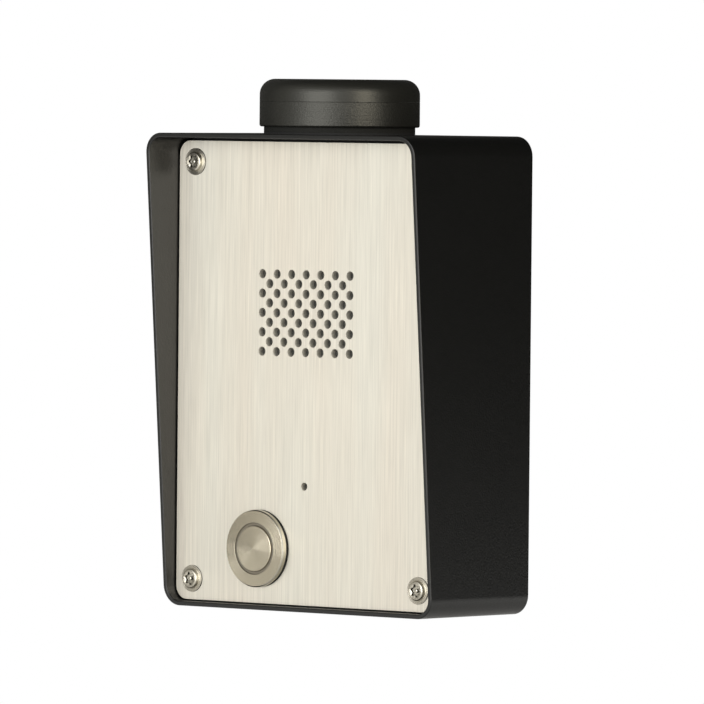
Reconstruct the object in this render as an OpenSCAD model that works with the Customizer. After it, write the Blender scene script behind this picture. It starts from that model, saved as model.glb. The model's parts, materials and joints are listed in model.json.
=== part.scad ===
// Gate intercom with a hooded housing, a steel faceplate, a call button and a puck antenna.
// Millimetres. The origin lies on the rear face, level with the faceplate's middle.
// +Y runs into the wall and +Z is up.

/* [Housing] */
// Width across the sides
housing_w = 116; // [108:1:140]
// Height from the bottom to the top
housing_h = 153.5; // [148:0.5:190]
// Depth from the wall to the hood's front edge, at the top
hood_top_depth = 57.9; // [52:0.1:75]
// Depth from the wall to the hood's front edge, at the bottom
hood_bottom_depth = 46.9; // [45:0.1:51]
// Thickness of the sides
wall = 1.5; // [1:0.1:2.5]
// Thickness of the back wall
back_wall = 2; // [1.5:0.1:3]
// Outer radius of the four long corners
corner_r = 6.5; // [4:0.1:10]
// Diameter of the wall screw holes
wall_hole_d = 5.2; // [4:0.1:7]
// Wall screw holes, centre to centre across
wall_hole_span_x = 76; // [70:1:80]
// Wall screw holes, centre to centre up
wall_hole_span_z = 120; // [116:1:124]

/* [Cable entry] */
// Distance of the cable entry from the middle, to the right
cable_x = 12; // [6:1:16]
// Height of the cable entry above the housing's bottom
cable_from_bottom = 20.5; // [19:0.5:26]
// Diameter of the hole that holds the grommet
cable_hole_d = 20; // [14:1:22]
// Bore of the grommet
grommet_bore_d = 9; // [5:0.5:11]
// Thickness of each grommet lip
grommet_lip_t = 1.6; // [1:0.1:2]
// How far a grommet lip reaches past its hole
grommet_lip_w = 2; // [1:0.1:3]
// Depth of the dish that sinks the grommet into the back
dish_depth = 2; // [1.8:0.1:3]

/* [Faceplate] */
// How far the hood's bottom edge stands in front of the faceplate
plate_recess = 3.7; // [2.5:0.1:4]
// Thickness of the faceplate
plate_t = 2; // [1.5:0.1:3]
// Gap between the faceplate and the hood, at the sides and the bottom
plate_gap = 0.5; // [0.3:0.1:1]
// Gap between the faceplate and the hood, at the top
plate_gap_top = 1; // [0.3:0.1:1.2]
// Faceplate screws, distance from the side edges
screw_inset_x = 7.1; // [6.5:0.1:9]
// Faceplate screws, distance from the top and bottom edges
screw_inset_z = 6.8; // [6:0.1:8]
// Thickness of the weather gasket
gasket_t = 1; // [0.5:0.1:2]
// Thickness of the sheet that the seat frame is pressed from
frame_t = 1.5; // [1:0.1:2]
// Width of the seat along the walls
seat_w = 4; // [3:0.1:4]
// Depth of the frame's skirt along the walls
skirt_depth = 2.5; // [2:0.1:2.8]

/* [Faceplate screws] */
// Thread diameter
screw_d = 4; // [3:0.5:5]
// Length under the head
screw_len = 12; // [10:1:16]
// Diameter of the head's flange
screw_flange_d = 8.7; // [8:0.1:11]
// Thickness of the flange
screw_flange_t = 0.5; // [0.4:0.1:1]
// Diameter of the dome where it leaves the flange
screw_dome_d = 6.6; // [6.2:0.1:7.6]
// Diameter of the flat on top
screw_flat_d = 5; // [4.8:0.1:5.6]
// Height of the whole head
screw_head_h = 1.4; // [1.3:0.1:2.6]
// Radius of the six-lobed recess, to the lobes' tips
recess_r = 2; // [1.7:0.1:2.2]
// Depth of the recess
recess_depth = 1; // [0.8:0.1:1.2]
// Diameter of the pin in the recess
recess_pin_d = 1.2; // [0.8:0.1:1.4]
// Diameter of a clinch nut
clinch_nut_d = 7; // [6.4:0.1:8]
// Length of a clinch nut behind the seat
clinch_nut_len = 4; // [3:0.5:6]

/* [Speaker grille] */
// Diameter of a grille hole
grille_hole_d = 3; // [2:0.1:3.6]
// Distance between holes in a row
grille_pitch = 6.3; // [5.8:0.05:6.6]
// Distance between rows
grille_row_pitch = 3.125; // [2.9:0.005:3.4]
// Holes in a long row
grille_columns = 7; // [3:2:7]
// Rows, long and short in turn
grille_rows = 9; // [3:2:9]
// Grille and microphone hole, distance from the middle to the left
grille_left = 0.4; // [0:0.1:4]
// Middle of the grille, distance from the plate's top edge
grille_from_top = 55.1; // [50:0.1:60]

/* [Speaker] */
// Outer diameter of the speaker
speaker_d = 57; // [54:0.5:60]
// Thickness of the dust mesh
mesh_t = 0.4; // [0.2:0.1:0.8]
// Thickness of the foam ring in front of the speaker
speaker_gasket_t = 1.6; // [1:0.1:2.5]
// Width of the speaker's rim
rim_w = 3; // [2.5:0.1:4]
// Thickness of the rim and the basket
basket_t = 0.9; // [0.6:0.1:1.2]
// Depth of the basket
basket_depth = 8.5; // [8:0.1:9.5]
// Diameter of the basket's flat rear
basket_rear_d = 36; // [34:0.5:40]
// Diameter of the magnet
magnet_d = 32; // [28:0.5:33]
// Thickness of the magnet
magnet_t = 6; // [4:0.1:7]
// Thickness of the pole plates
pole_plate_t = 2; // [1.5:0.1:2.4]
// Diameter of the voice coil
coil_d = 16; // [13:0.5:18]

/* [Microphone] */
// Diameter of the microphone hole
mic_hole_d = 2.6; // [1.5:0.1:4]
// Height of the microphone hole above the plate's bottom edge
mic_from_bottom = 38.3; // [37:0.1:44]
// Diameter of the microphone capsule
mic_d = 9.7; // [6:0.1:10]
// Length of the capsule
mic_len = 6; // [4:0.1:7]
// Wall of the rubber boot
mic_boot_wall = 1.6; // [1:0.1:2]

/* [Call button] */
// Distance of the button from the plate's left edge
button_from_left = 36.6; // [34:0.1:40]
// Height of the button above the plate's bottom edge
button_from_bottom = 17.7; // [17.4:0.1:20]
// Diameter of the button's head
button_head_d = 24.6; // [24:0.1:28]
// Thickness of the head
button_head_t = 1.7; // [1.2:0.1:2.5]
// Chamfer round the head
button_chamfer = 0.3; // [0.2:0.1:0.8]
// How far the rubber seal under the head shows round it
seal_proud = 0; // [0:0.1:1]
// Thickness of the seal
button_seal_t = 1.1; // [0.3:0.1:1.5]
// Diameter of the threaded barrel
barrel_d = 21.8; // [21.5:0.1:22.5]
// Outer diameter of the light ring
light_ring_d = 16.8; // [16:0.1:17.4]
// Diameter of the cap
cap_d = 14.4; // [13:0.1:14.8]
// Thickness of the cap behind the head's front face
cap_t = 3; // [2:0.1:4]
// How far the cap stands proud
cap_proud = 0.3; // [0:0.1:0.8]
// How far the cap can be pressed
button_travel = 2; // [1:0.1:2.5]
// Diameter of the plunger's stem
stem_d = 6; // [5:0.1:7]
// Wire of the return spring
spring_wire_d = 0.6; // [0.4:0.05:0.7]
// Length of the return spring, fitted
spring_len = 5.4; // [5:0.1:6]
// Turns of the return spring
spring_turns = 4; // [3:1:4]
// Length of the terminal tabs behind the button
tab_len = 6; // [5:0.5:7]
// Width across the flats of the button's nut
button_nut_af = 26; // [25:0.5:26.5]
// Thickness of the button's nut
button_nut_t = 4; // [3:0.5:6]

/* [Circuit board] */
// Width of the board
board_w = 90; // [88:1:100]
// Height of the board
board_h = 84; // [82:1:86]
// Thickness of the board
board_t = 1.6; // [1:0.1:2]
// Distance from the housing's inner top down to the board
board_from_top = 26.5; // [24.5:0.5:27]
// Height of the board's standoffs
standoff_h = 8; // [6:0.5:8.5]
// Diameter of a standoff
standoff_d = 6; // [5:0.1:7]
// Standoffs, distance from the board's edges
standoff_inset = 4.5; // [4:0.1:5]
// Thread diameter of the board's screws
board_screw_d = 3; // [2.5:0.5:3]
// Ways of the terminal block
terminal_ways = 5; // [2:1:5]
// Distance between the ways
terminal_pitch = 5.08; // [5:0.01:5.2]

/* [Antenna] */
// Diameter of the antenna's cap
antenna_d = 51.7; // [50:0.1:54]
// Height of the cap
antenna_h = 15.4; // [14:0.1:20]
// Radius of the cap's upper edge
antenna_top_r = 5; // [2:0.1:6]
// Radius of the cap's lower edge
antenna_low_r = 0.7; // [0.5:0.1:1.5]
// Wall of the cap
antenna_wall = 2; // [1.6:0.1:2.4]
// Diameter of the base under the cap
antenna_base_d = 48.8; // [48:0.1:49.6]
// Thickness of the base
antenna_base_t = 1.7; // [1.5:0.1:3]
// Thickness of the foam pad under the base
antenna_pad_t = 0.7; // [0.5:0.1:1.5]
// Distance of the antenna's axis from the wall
antenna_y = 28.2; // [26:0.1:28.4]
// Diameter of the hollow stud
stud_d = 10; // [8:0.5:11]
// Length of the stud inside the housing
stud_len = 14; // [12:0.5:15]
// Width across the flats of the stud's nut
stud_nut_af = 14; // [13.5:0.5:14.5]
// Thickness of the stud's nut
stud_nut_t = 5; // [3:0.5:6]

/* [Clearances] */
// Between two curved faces that don't move against each other
snug = 0.1; // [0.05:0.05:0.2]
// Between a moving piece and its guide
slip = 0.2; // [0.15:0.05:0.3]
// Between a moving piece and its end stop
stop_gap = 0.3; // [0.2:0.05:0.4]
// Between a screw and the hole it passes through
screw_clear = 0.25; // [0.2:0.05:0.5]

/* [Hidden] */
$fn = 96;
eps = 0.01;
through = 400;

// Housing
inner_w = housing_w - 2 * wall;
inner_h = housing_h - 2 * wall;
inner_r = corner_r - wall;
back_inner = -back_wall;
housing_z = (plate_gap_top - plate_gap) / 2;
inner_top = housing_z + inner_h / 2;
cable_z = housing_z - housing_h / 2 + cable_from_bottom;
cable_hole_r = cable_hole_d / 2;
grommet_r = cable_hole_r + grommet_lip_w;
dish_clear = 1.5;
dish_r = grommet_r + dish_clear;

// Faceplate and its seat
plate_w = inner_w - 2 * plate_gap;
plate_h = inner_h - plate_gap - plate_gap_top;
plate_r = inner_r - plate_gap;
plate_front = -(hood_bottom_depth - plate_recess);
plate_rear = plate_front + plate_t;
seat_front = plate_rear + gasket_t;
seat_rear = seat_front + frame_t;
screw_x = plate_w / 2 - screw_inset_x;
screw_z = plate_h / 2 - screw_inset_z;
clinch_margin = 1.2;
weld_gap = 0.8;
gusset_leg = screw_inset_x + screw_inset_z + plate_gap + max(plate_gap, plate_gap_top)
    + (clinch_nut_d / 2 + clinch_margin) * sqrt(2);

// Speaker, counted from the back of the plate
grille_x = -grille_left;
grille_z = plate_h / 2 - grille_from_top;
rim_front = plate_rear + mesh_t + speaker_gasket_t;
rim_rear = rim_front + basket_t;
basket_rear = rim_front + basket_depth;
speaker_r = speaker_d / 2;
cone_r = speaker_r - rim_w;
surround_r = 1.6;
paper_t = 0.5;
coil_wall = 0.4;
coil_clear = 0.4;
coil_lap = 4;
coil_past = 1;
cone_rear_gap = 3;
magnet_clear = 2;
yoke_inset = 1;
clamp_t = 1.2;
clamp_reach = 2;
clamp_offset = 3.4;
clamp_r = speaker_r + clamp_offset;
stud_thread_d = 3;
nut_m3_af = 5.5;
nut_m3_t = 2.4;
clamp_w = 7;
clamp_tail = 3.2;
thread_past_nut = 1;
clamp_spacer = mesh_t + speaker_gasket_t + basket_t;

// Microphone
mic_z = -plate_h / 2 + mic_from_bottom;
mic_boot_r = mic_d / 2 + snug + mic_boot_wall;
mic_mesh_t = 0.3;
mic_front_t = 1.5;
mic_boot_len = mic_front_t + mic_len + 1;

// Call button, counted backwards from the front face of its head
button_x = -plate_w / 2 + button_from_left;
button_z = -plate_h / 2 + button_from_bottom;
head_front = plate_front - button_seal_t - button_head_t;
barrel_r = barrel_d / 2;
barrel_wall = 1.5;
cavity_r = barrel_r - barrel_wall;
light_ring_r = light_ring_d / 2;
cap_r = cap_d / 2;
stem_r = stem_d / 2;
press_room = 1;
web_t = 1.8;
collar_w = 2.4;
collar_r = stem_r + collar_w;
collar_t = 1;
tail_step = 0.8;
tail_r = stem_r - tail_step;
guide_t = 1.5;
bridge_t = 0.6;
rivet_t = 0.4;
rivet_r = 1.2;
bridge_len = 12;
bridge_w = 3;
contact_gap = 0.1;
contact_x = 4.4;
tab_t = 0.8;
base_t = 3;
web_front = cap_t + button_travel + press_room;
web_rear = web_front + web_t;
collar_front = web_rear + stop_gap;
collar_rear = collar_front + collar_t;
carrier_front = collar_rear + spring_len;
guide_rear = carrier_front + guide_t;
bridge_front = guide_rear + stop_gap;
bridge_rear = bridge_front + bridge_t;
tab_front = bridge_rear + rivet_t + button_travel + contact_gap;
barrel_overlap = 3;
barrel_end = guide_rear + barrel_overlap;
chamber_rear = 3;
base_front = max(tab_front, barrel_end) + chamber_rear;
base_rear = base_front + base_t;
tab_end = base_rear + tab_len;
carrier_r = cavity_r - snug;
carrier_wall = 1.7;
chamber_r = carrier_r - carrier_wall;
shoulder_step = 0.4;
shoulder_r = barrel_r - shoulder_step;
spring_clear = 1.2;
spring_r = tail_r + spring_clear + spring_wire_d / 2;
light_ring_sunk = 0.2;
head_stack = button_head_t + button_seal_t + plate_t;

// Circuit board
board_front = back_inner - standoff_h - board_t;
board_rear = back_inner - standoff_h;
board_top = inner_top - board_from_top;
board_z = board_top - board_h / 2;
board_screw_len = 6;
board_screw_head_r = board_screw_d;
board_screw_head_h = 2;
module_size = [25, 25, 3];
module_at = [22, board_h / 2 - 23];
sim_size = [17, 16, 2.2];
sim_at = [-26, board_h / 2 - 17];
relay_size = [19, 15.4, 15.3];
relay_at = [-33, 18 - board_h / 2];
terminal_depth = 8.2;
terminal_h = 10;
terminal_w = terminal_ways * terminal_pitch + 1;
terminal_at = [22, 5.5 - board_h / 2];
terminal_screw_r = 1.8;
terminal_screw_t = 3;
terminal_sunk = 1;
terminal_mouth_r = 1.7;
terminal_mouth_y = 6;
capacitor_r = 5;
capacitor_h = 12.5;
capacitor_bead = 1.5;
capacitor_edge = 0.5;
capacitors_up = 23;
capacitors_at = [for (x = [-12, 0]) [x, capacitors_up - board_h / 2]];
header_size = [7.4, 5.8, 5];
plug_size = [6.4, 4.8, 5];
speaker_header_down = 41;
speaker_header_at = [-38, board_h / 2 - speaker_header_down];
button_header_at = [-14, standoff_inset - board_h / 2];
mic_header_at = [0, standoff_inset - board_h / 2];
headers_at = [speaker_header_at, button_header_at, mic_header_at];
socket_at = [20, board_h / 2 - standoff_inset];
socket_base = [6, 6, 2];
socket_barrel_r = 2.2;
socket_barrel_h = 4;
coax_plug_r = 3.2;
coax_plug_h = 3.6;
coax_plug_cap = 1;
coax_ferrule_r = 2;
coax_ferrule_len = 5;
coax_plug_y = board_front - socket_base[2] - socket_barrel_h + coax_plug_h / 2;

// Antenna, counted up from the housing's top
top_z = housing_z + housing_h / 2;
pad_inset = 0.4;
pad_top = top_z + antenna_pad_t;
base_top = pad_top + antenna_base_t;
antenna_r = antenna_d / 2;
spigot_h = 2.4;
spigot_r = antenna_r - antenna_wall - snug;
antenna_board_z = base_top + spigot_h;
antenna_board_t = 1.6;
antenna_board_inset = 2;
antenna_board_r = spigot_r - antenna_board_inset;
element_w = 26;
element_depth = 14;
element_t = 0.5;
element_h = 5;
element_foot_w = 3;
element_clear = 1;
stud_r = stud_d / 2;
stud_bore_r = 2;
stud_flange_r = stud_r + 3;
stud_flange_t = 1.4;
stud_washer_t = 1.2;
stud_washer_r = stud_nut_af / 2 + 2;
coax_d = 2.6;

// Routes of the leads, from the fitting at one end to the fitting at the other
lead_d = 2.2;
coax_route = [
    [0, -antenna_y, antenna_board_z - snug], [0, -antenna_y, 74], [0, -antenna_y, 66], [0, -antenna_y, 58],
    [0.4, -27.4, 54], [2, -25.6, 50.5],
    [4.6, -22.2, 47.5], [6.8, -18.8, 45.4], [8.6, -16.4, 44.6], [10.4, -15.8, 44.5], [11.7, -15.8, 44.5]
];
speaker_route = [
    [-27.4, -31.7, 19.4], [-27.4, -30.4, 19.4], [-27.6, -28, 19], [-29.2, -25.6, 17.2],
    [-32.5, -25.4, 13.6], [-36.4, -26.4, 10], [-37.9, -25, 8.2], [-38, -23, 8], [-38, -21.7, 8]
];
mic_route = [
    [-0.4, -33.6, -36.2], [-0.4, -32, -36.2], [-0.2, -29.6, -36.4], [2.4, -27, -38.6], [7, -26.6, -40],
    [10.4, -27.8, -37], [8.6, -28.6, -32.4], [3.6, -27.4, -30.6], [0.4, -25, -30.5], [0, -23, -30.5],
    [0, -21.7, -30.5]
];
button_route = [
    [-19.4, -15.8, -52.7], [-19.4, -15.8, -51.4], [-19.4, -16.1, -48.6], [-19.2, -18.2, -44.2],
    [-18.4, -22.4, -40], [-16.6, -27, -35.6], [-14.8, -28, -32], [-14.1, -25.6, -30.6], [-14, -23, -30.5],
    [-14, -21.7, -30.5]
];
lead_steps = 3;

// Shared shapes

// Child that points along +Z is laid to point along +Y, into the wall, from the point x, y, z.
module into_wall(x, y, z) {
    translate([x, y, z])
        rotate([-90, 0, 0])
            children();
}

// Flat outline in X and Z, given thickness t in front of the plane y.
module upright(y, t) {
    translate([0, y, 0])
        rotate([90, 0, 0])
            linear_extrude(t)
                children();
}

module rounded_rect(w, h, r) {
    square([w - 2 * r, h], center = true);
    square([w, h - 2 * r], center = true);
    for (x = [-1, 1], z = [-1, 1])
        translate([x * (w / 2 - r), z * (h / 2 - r)])
            circle(r);
}

// Children at the four corners of a rectangle in X and Z.
module at_corners(half_x, half_z) {
    for (x = [-1, 1], z = [-1, 1])
        translate([x * half_x, 0, z * half_z])
            children();
}

module ring(r_out, r_in, h) {
    difference() {
        cylinder(h = h, r = r_out);
        translate([0, 0, -eps])
            cylinder(h = h + 2 * eps, r = r_in);
    }
}

module hex_nut(af, t, bore_r) {
    difference() {
        cylinder(h = t, d = af / cos(30), $fn = 6);
        translate([0, 0, -eps])
            cylinder(h = t + 2 * eps, r = bore_r);
    }
}

// Box on the front of the board, centred at at, with its size as across, up and out.
module on_board(at, size) {
    translate([at[0] - size[0] / 2, board_front - size[2], board_z + at[1] - size[1] / 2])
        cube([size[0], size[2], size[1]]);
}

function unit(v) = v / norm(v);
function tangent(path, i) = unit(path[min(i + 1, len(path) - 1)] - path[max(i - 1, 0)]);

// Point on the smooth curve from point i of a route to the next.
function route_point(p, i, s) =
    let (a = p[max(i - 1, 0)], b = p[i], c = p[i + 1], d = p[min(i + 2, len(p) - 1)])
    0.5 * (2 * b + (c - a) * s + (2 * a - 5 * b + 4 * c - d) * s * s + (3 * b - a - 3 * c + d) * s * s * s);
function smooth_route(p) =
    [for (i = [0:len(p) - 2], k = [0:lead_steps - 1]) route_point(p, i, k / lead_steps), p[len(p) - 1]];

// Tube along a path. The path never runs along the vector across.
module tube(path, r, sides, across) {
    n = len(path);
    points = [
        for (i = [0:n - 1], k = [0:sides - 1])
            let (t = tangent(path, i), s = unit(cross(t, across)), u = cross(s, t), a = 360 * k / sides)
            path[i] + r * (cos(a) * s + sin(a) * u)
    ];
    walls = [
        for (i = [0:n - 2], k = [0:sides - 1])
            let (a = i * sides + k, b = i * sides + (k + 1) % sides)
            each [[a, b, b + sides], [a, b + sides, a + sides]]
    ];
    ends = [
        for (k = [1:sides - 2])
            let (last = (n - 1) * sides)
            each [[0, k + 1, k], [last, last + k, last + k + 1]]
    ];
    polyhedron(points, concat(walls, ends));
}

// Housing and cable entry

// Outline of the sleeve's inside, or one drawn in from it.
module sleeve_inside(r, inset = 0) {
    translate([0, housing_z])
        rounded_rect(inner_w - 2 * inset, inner_h - 2 * inset, r);
}

// Solid with the hood's side view: deeper at the top than at the bottom.
module hood_wedge() {
    low_z = top_z - housing_h;
    translate([-housing_w / 2, 0, 0])
        rotate([90, 0, 90])
            linear_extrude(housing_w)
                polygon([
                    [0, low_z], [0, top_z], [-hood_top_depth, top_z], [-hood_bottom_depth, low_z]
                ]);
}

module housing() {
    color("#1c1c1b")
    difference() {
        union() {
            difference() {
                intersection() {
                    upright(0, max(hood_top_depth, hood_bottom_depth))
                        translate([0, housing_z])
                            rounded_rect(housing_w, housing_h, corner_r);
                    hood_wedge();
                }
                upright(back_inner, through)
                    sleeve_inside(inner_r);
            }
            into_wall(cable_x, back_inner - dish_depth, cable_z)
                cylinder(h = dish_depth + eps, r = dish_r + back_wall);
        }
        into_wall(cable_x, -dish_depth, cable_z)
            cylinder(h = dish_depth + 1, r = dish_r);
        into_wall(cable_x, -through / 2, cable_z)
            cylinder(h = through, r = cable_hole_r);
        at_corners(wall_hole_span_x / 2, wall_hole_span_z / 2)
            into_wall(0, -back_wall - 1, 0)
                cylinder(h = back_wall + 2, d = wall_hole_d);
        translate([0, -antenna_y, inner_top - 1])
            cylinder(h = wall + 2, r = stud_r + screw_clear);
    }
}

module cable_grommet() {
    waist_r = cable_hole_r - snug;
    lip_front = back_inner - dish_depth - grommet_lip_t;
    lip_rear = lip_front + grommet_lip_t + back_wall;
    color("#202020")
    difference() {
        union() {
            into_wall(cable_x, lip_front, cable_z)
                cylinder(h = grommet_lip_t, r = grommet_r);
            into_wall(cable_x, lip_front, cable_z)
                cylinder(h = back_wall + 2 * grommet_lip_t, r = waist_r);
            into_wall(cable_x, lip_rear, cable_z)
                cylinder(h = grommet_lip_t, r = grommet_r);
        }
        into_wall(cable_x, lip_front - 1, cable_z)
            cylinder(h = back_wall + 2 * grommet_lip_t + 2, d = grommet_bore_d);
    }
}

// Seat frame and faceplate

// Opening inside the seat, with a gusset across each corner for the screws.
module seat_window() {
    x = inner_w / 2 - seat_w;
    z = inner_h / 2 - seat_w;
    cut = gusset_leg - seat_w;
    translate([0, housing_z])
        polygon([
            [x - cut, z], [x, z - cut], [x, cut - z], [x - cut, -z],
            [cut - x, -z], [-x, cut - z], [-x, z - cut], [cut - x, z]
        ]);
}

module seat_frame() {
    frame_r = inner_r + weld_gap;
    color("#8f9296")
    difference() {
        union() {
            upright(seat_rear, frame_t)
                difference() {
                    sleeve_inside(frame_r);
                    seat_window();
                }
            upright(seat_front + skirt_depth, skirt_depth)
                difference() {
                    sleeve_inside(frame_r);
                    sleeve_inside(frame_r - frame_t, frame_t);
                }
        }
        at_corners(screw_x, screw_z)
            into_wall(0, seat_front - 1, 0)
                cylinder(h = frame_t + 2, d = screw_d + 4 * screw_clear);
    }
}

module clinch_nuts() {
    color("#a8abae")
    at_corners(screw_x, screw_z)
        into_wall(0, seat_rear, 0)
            ring(clinch_nut_d / 2, screw_d / 2 + snug, clinch_nut_len);
}

module faceplate_gasket() {
    color("#161616")
    difference() {
        upright(seat_front, gasket_t)
            difference() {
                rounded_rect(plate_w, plate_h, plate_r);
                seat_window();
            }
        at_corners(screw_x, screw_z)
            into_wall(0, plate_rear - 1, 0)
                cylinder(h = gasket_t + 2, d = screw_d + 2 * screw_clear);
    }
}

// Staggered holes: every other row is one hole shorter and stands half a pitch across.
module grille_holes() {
    for (row = [0:grille_rows - 1]) {
        holes = grille_columns - row % 2;
        for (column = [0:holes - 1])
            translate([
                (column - (holes - 1) / 2) * grille_pitch,
                (row - (grille_rows - 1) / 2) * grille_row_pitch
            ])
                circle(d = grille_hole_d, $fn = 32);
    }
}

module faceplate() {
    color("#dcd8c8")
    upright(plate_rear, plate_t)
        difference() {
            rounded_rect(plate_w, plate_h, plate_r);
            translate([grille_x, grille_z])
                grille_holes();
            translate([grille_x, mic_z])
                circle(d = mic_hole_d, $fn = 32);
            translate([button_x, button_z])
                circle(barrel_r + slip);
            for (x = [-1, 1], z = [-1, 1])
                translate([x * screw_x, z * screw_z])
                    circle(d = screw_d + 2 * screw_clear);
        }
}

// Six-lobed recess with a pin, cut down from the top of a screw head.
module pin_recess() {
    lobe_r = 0.24 * recess_r;
    difference() {
        union() {
            cylinder(h = recess_depth + 1, r = 0.74 * recess_r);
            for (a = [0:60:300])
                rotate(a)
                    translate([recess_r - lobe_r, 0, 0])
                        cylinder(h = recess_depth + 1, r = lobe_r, $fn = 24);
        }
        translate([0, 0, -1])
            cylinder(h = recess_depth + 0.8, d = recess_pin_d, $fn = 24);
    }
}

module faceplate_screw() {
    difference() {
        rotate_extrude()
            polygon([
                [0, -screw_len], [screw_d / 2, -screw_len], [screw_d / 2, 0], [screw_flange_d / 2, 0],
                [screw_flange_d / 2, screw_flange_t / 2], [screw_dome_d / 2 + 0.4, screw_flange_t],
                [screw_dome_d / 2, screw_flange_t],
                [screw_dome_d / 2 - 0.25, screw_flange_t + 0.6 * (screw_head_h - screw_flange_t)],
                [screw_flat_d / 2, screw_head_h], [0, screw_head_h]
            ]);
        translate([0, 0, screw_head_h - recess_depth])
            pin_recess();
    }
}

module faceplate_screws() {
    color("#9d9a90")
    at_corners(screw_x, screw_z)
        translate([0, plate_front, 0])
            rotate([90, 0, 0])
                faceplate_screw();
}

// Speaker

module at_clamps() {
    for (a = [45:90:315])
        translate([clamp_r * cos(a), 0, clamp_r * sin(a)])
            rotate([0, -a, 0])
                children();
}

module at_speaker() {
    translate([grille_x, 0, grille_z])
        children();
}

module faceplate_studs() {
    color("#b9b7ae")
    at_speaker()
        at_clamps()
            into_wall(0, plate_rear, 0)
                cylinder(h = clamp_spacer + clamp_t + nut_m3_t + thread_past_nut, d = stud_thread_d);
}

module speaker_mesh() {
    color("#77766e")
    at_speaker()
        into_wall(0, plate_rear, 0)
            cylinder(h = mesh_t, r = speaker_r);
}

module speaker_gasket() {
    color("#2b2b2b")
    at_speaker()
        into_wall(0, plate_rear + mesh_t, 0)
            ring(speaker_r, cone_r, speaker_gasket_t);
}

// Rim, tapered wall and flat rear of the pressed basket, with a window in each quarter.
module speaker_basket() {
    tag = [3, basket_depth - 2, 6];
    rear_r = basket_rear_d / 2;
    color("#6c6f73")
    at_speaker() {
        difference() {
            into_wall(0, rim_front, 0)
                rotate_extrude()
                    polygon([
                        [cone_r, 0], [speaker_r, 0], [speaker_r, basket_t], [cone_r + basket_t, basket_t],
                        [rear_r, basket_depth], [coil_d / 2 + coil_clear, basket_depth],
                        [coil_d / 2 + coil_clear, basket_depth - basket_t],
                        [rear_r - basket_t, basket_depth - basket_t], [cone_r, basket_t]
                    ]);
            for (a = [0:90:270])
                rotate([0, a + 45, 0])
                    translate([rear_r + 1, rim_front + 2 * basket_t, -6])
                        cube([speaker_r, basket_depth - 4 * basket_t, 12]);
        }
        translate([-cone_r - rim_w, rim_rear, -tag[2] / 2])
            cube(tag);
    }
}

module speaker_surround() {
    roll_x = cone_r - surround_r - snug;
    color("#141414")
    at_speaker()
        into_wall(0, rim_front, 0)
            rotate_extrude()
                translate([roll_x, 0])
                    intersection() {
                        difference() {
                            circle(surround_r);
                            circle(surround_r - paper_t);
                        }
                        translate([-surround_r, 0])
                            square([2 * surround_r, surround_r]);
                    }
}

module speaker_cone() {
    edge_r = cone_r - 2 * surround_r - 2 * snug;
    neck_r = coil_d / 2 + snug;
    depth = basket_depth - cone_rear_gap;
    color("#2a2c30")
    at_speaker()
        into_wall(0, rim_front, 0)
            rotate_extrude()
                polygon([
                    [edge_r - paper_t, 0], [edge_r, 0], [edge_r, paper_t],
                    [neck_r + paper_t, depth], [neck_r, depth]
                ]);
}

module speaker_dust_cap() {
    cap_base = basket_depth - coil_lap;
    cap_sphere = coil_d * 0.75;
    sunk = sqrt(pow(cap_sphere, 2) - pow(coil_d / 2, 2));
    color("#33363b")
    at_speaker()
        into_wall(0, rim_front + cap_base, 0)
            intersection() {
                translate([0, 0, sunk])
                    difference() {
                        sphere(cap_sphere);
                        sphere(cap_sphere - paper_t);
                    }
                translate([0, 0, -coil_d])
                    cylinder(h = coil_d, r = coil_d / 2);
            }
}

module speaker_voice_coil() {
    coil_front = basket_depth - coil_lap + snug;
    color("#b06a33")
    at_speaker()
        into_wall(0, rim_front + coil_front, 0)
            ring(coil_d / 2, coil_d / 2 - coil_wall, coil_lap + pole_plate_t + coil_past);
}

module speaker_top_plate() {
    color("#8a8d91")
    at_speaker()
        into_wall(0, basket_rear, 0)
            ring(magnet_d / 2, coil_d / 2 + coil_clear, pole_plate_t);
}

module speaker_magnet() {
    color("#3a3a3c")
    at_speaker()
        into_wall(0, basket_rear + pole_plate_t, 0)
            ring(magnet_d / 2, coil_d / 2 + magnet_clear, magnet_t);
}

module speaker_yoke() {
    pole_r = coil_d / 2 - coil_wall - coil_clear;
    color("#8a8d91")
    at_speaker()
        into_wall(0, basket_rear, 0) {
            cylinder(h = pole_plate_t + magnet_t + eps, r = pole_r);
            translate([0, 0, pole_plate_t + magnet_t])
                cylinder(h = pole_plate_t, r = magnet_d / 2 - yoke_inset);
        }
}

// Each clamp stands on the plate beside the speaker and reaches over its rim.
module speaker_clamps() {
    reach = clamp_offset + clamp_reach;
    color("#9a9da1")
    at_speaker()
        at_clamps()
            difference() {
                union() {
                    into_wall(0, plate_rear, 0)
                        cylinder(h = clamp_spacer + eps, r = clamp_offset - slip);
                    translate([-reach, plate_rear + clamp_spacer, -clamp_w / 2])
                        cube([reach + clamp_tail, clamp_t, clamp_w]);
                }
                into_wall(0, plate_rear - 1, 0)
                    cylinder(h = clamp_spacer + clamp_t + 2, d = stud_thread_d + 2 * snug);
            }
}

module speaker_nuts() {
    color("#a8abae")
    at_speaker()
        at_clamps()
            into_wall(0, plate_rear + clamp_spacer + clamp_t, 0)
                hex_nut(nut_m3_af, nut_m3_t, stud_thread_d / 2 + snug);
}

// Microphone

module mic_mesh() {
    color("#77766e")
    into_wall(grille_x, plate_rear, mic_z)
        cylinder(h = mic_mesh_t, d = mic_d);
}

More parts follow.
